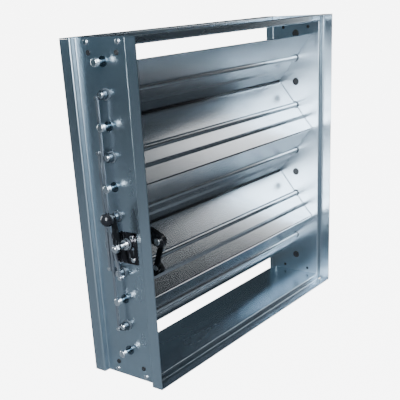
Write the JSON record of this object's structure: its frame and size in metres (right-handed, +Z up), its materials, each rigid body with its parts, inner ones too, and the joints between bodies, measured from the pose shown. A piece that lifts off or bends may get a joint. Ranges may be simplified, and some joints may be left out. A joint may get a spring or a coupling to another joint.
{
  "type": "volume control damper",
  "caption": "Rectangular opposed-blade volume control damper in galvanised sheet, with collar lips, side linkage and a hand lever with a ball knob.",
  "frame": {"origin": "centre of the airway's width and depth, on the axis of the middle blade", "axes": "+X from the drive side to the far side, +Y along the air path from front to rear, +Z up"},
  "size_m": [0.6669, 0.16, 0.59],
  "materials": {
    "galvanised_casing": "hot-dip galvanised with a fine spangle",
    "galvanised_blade": "hot-dip galvanised with a fine spangle",
    "linkage_steel": "zinc plated",
    "bright_steel": "bright zinc plated",
    "quadrant_steel": "dark gloss",
    "nylon": "natural nylon",
    "black_plastic": "moulded phenolic"
  },
  "bodies": {
    "casing": {"side_member_drive": "galvanised_casing", "side_member_far": "galvanised_casing", "top_member": "galvanised_casing", "bottom_member": "galvanised_casing", "corner_rivets": "bright_steel", "drive_shaft_bushes": "nylon", "far_shaft_bushes": "nylon", "cover_studs": "bright_steel", "quadrant_plate": "quadrant_steel", "quadrant_screws": "bright_steel", "spindle_bush": "nylon"},
    "blade_1_assembly": {"blade_1": "galvanised_blade", "blade_clips_1": "galvanised_blade", "drive_stub_1": "bright_steel", "far_stub_1": "bright_steel", "crank_1": "linkage_steel", "crank_pins_1": "bright_steel"},
    "blade_2_assembly": {"blade_2": "galvanised_blade", "blade_clips_2": "galvanised_blade", "drive_stub_2": "bright_steel", "far_stub_2": "bright_steel", "crank_2": "linkage_steel", "crank_pins_2": "bright_steel"},
    "blade_3_assembly": {"blade_3": "galvanised_blade", "blade_clips_3": "galvanised_blade", "drive_stub_3": "bright_steel", "far_stub_3": "bright_steel", "crank_3": "linkage_steel", "crank_pins_3": "bright_steel"},
    "blade_4_assembly": {"blade_4": "galvanised_blade", "blade_clips_4": "galvanised_blade", "drive_stub_4": "bright_steel", "far_stub_4": "bright_steel", "crank_4": "linkage_steel", "crank_pins_4": "bright_steel", "blade_lug": "linkage_steel", "lug_pin": "bright_steel"},
    "blade_5_assembly": {"blade_5": "galvanised_blade", "blade_clips_5": "galvanised_blade", "drive_stub_5": "bright_steel", "far_stub_5": "bright_steel", "crank_5": "linkage_steel", "crank_pins_5": "bright_steel"},
    "hand_drive": {"drive_spindle": "bright_steel", "hand_lever": "linkage_steel", "lever_knob": "black_plastic", "lever_nut": "bright_steel", "inner_crank": "black_plastic", "inner_crank_bolt": "bright_steel"},
    "odd_blade_rod": {"odd_blade_rod": "linkage_steel"},
    "even_blade_rod": {"even_blade_rod": "linkage_steel"},
    "reversing_link": {"reversing_link": "linkage_steel"},
    "drive_link": {"drive_link": "linkage_steel"}
  },
  "joints": [
    {"name": "blade_1_turn", "type": "hinge", "parent": "casing", "child": "blade_1_assembly", "pos_m": [-0.3, 0, 0.2], "axis": [1, 0, 0], "range_deg": [0, 51]},
    {"name": "blade_2_turn", "type": "hinge", "parent": "casing", "child": "blade_2_assembly", "pos_m": [-0.3, 0, 0.1], "axis": [-1, 0, 0], "range_deg": [0, 51]},
    {"name": "blade_3_turn", "type": "hinge", "parent": "casing", "child": "blade_3_assembly", "pos_m": [-0.3, 0, 0], "axis": [1, 0, 0], "range_deg": [0, 51]},
    {"name": "blade_4_turn", "type": "hinge", "parent": "casing", "child": "blade_4_assembly", "pos_m": [-0.3, 0, -0.1], "axis": [-1, 0, 0], "range_deg": [0, 51]},
    {"name": "blade_5_turn", "type": "hinge", "parent": "casing", "child": "blade_5_assembly", "pos_m": [-0.3, 0, -0.2], "axis": [1, 0, 0], "range_deg": [0, 51]},
    {"name": "hand_lever_turn", "type": "hinge", "parent": "casing", "child": "hand_drive", "pos_m": [-0.3, -0.018, -0.046], "axis": [-1, 0, 0], "range_deg": [0, 51]},
    {"name": "odd_rod_pivot", "type": "hinge", "parent": "blade_3_assembly", "child": "odd_blade_rod", "pos_m": [-0.314, 0.00903, -0.0043], "axis": [-1, 0, 0], "range_deg": [0, 51]},
    {"name": "even_rod_pivot", "type": "hinge", "parent": "blade_4_assembly", "child": "even_blade_rod", "pos_m": [-0.314, 0.01625, -0.09225], "axis": [1, 0, 0], "range_deg": [0, 51]},
    {"name": "reversing_link_pivot", "type": "hinge", "parent": "blade_3_assembly", "child": "reversing_link", "pos_m": [-0.3174, 0.00903, -0.0043], "axis": [-1, 0, 0], "range_deg": [0, 51]},
    {"name": "drive_link_pivot", "type": "hinge", "parent": "hand_drive", "child": "drive_link", "pos_m": [-0.235, -0.0381, -0.05495], "axis": [1, 0, 0], "range_deg": [0, 51]}
  ],
  "couplings": [
    {"joint": "blade_1_turn", "follows": "blade_4_turn", "ratio": 1},
    {"joint": "blade_2_turn", "follows": "blade_4_turn", "ratio": 1},
    {"joint": "blade_3_turn", "follows": "blade_4_turn", "ratio": 1},
    {"joint": "blade_5_turn", "follows": "blade_4_turn", "ratio": 1},
    {"joint": "hand_lever_turn", "follows": "blade_4_turn", "ratio": 1},
    {"joint": "odd_rod_pivot", "follows": "blade_4_turn", "ratio": 1},
    {"joint": "even_rod_pivot", "follows": "blade_4_turn", "ratio": 1},
    {"joint": "reversing_link_pivot", "follows": "blade_4_turn", "ratio": 1},
    {"joint": "drive_link_pivot", "follows": "blade_4_turn", "ratio": 1}
  ]
}
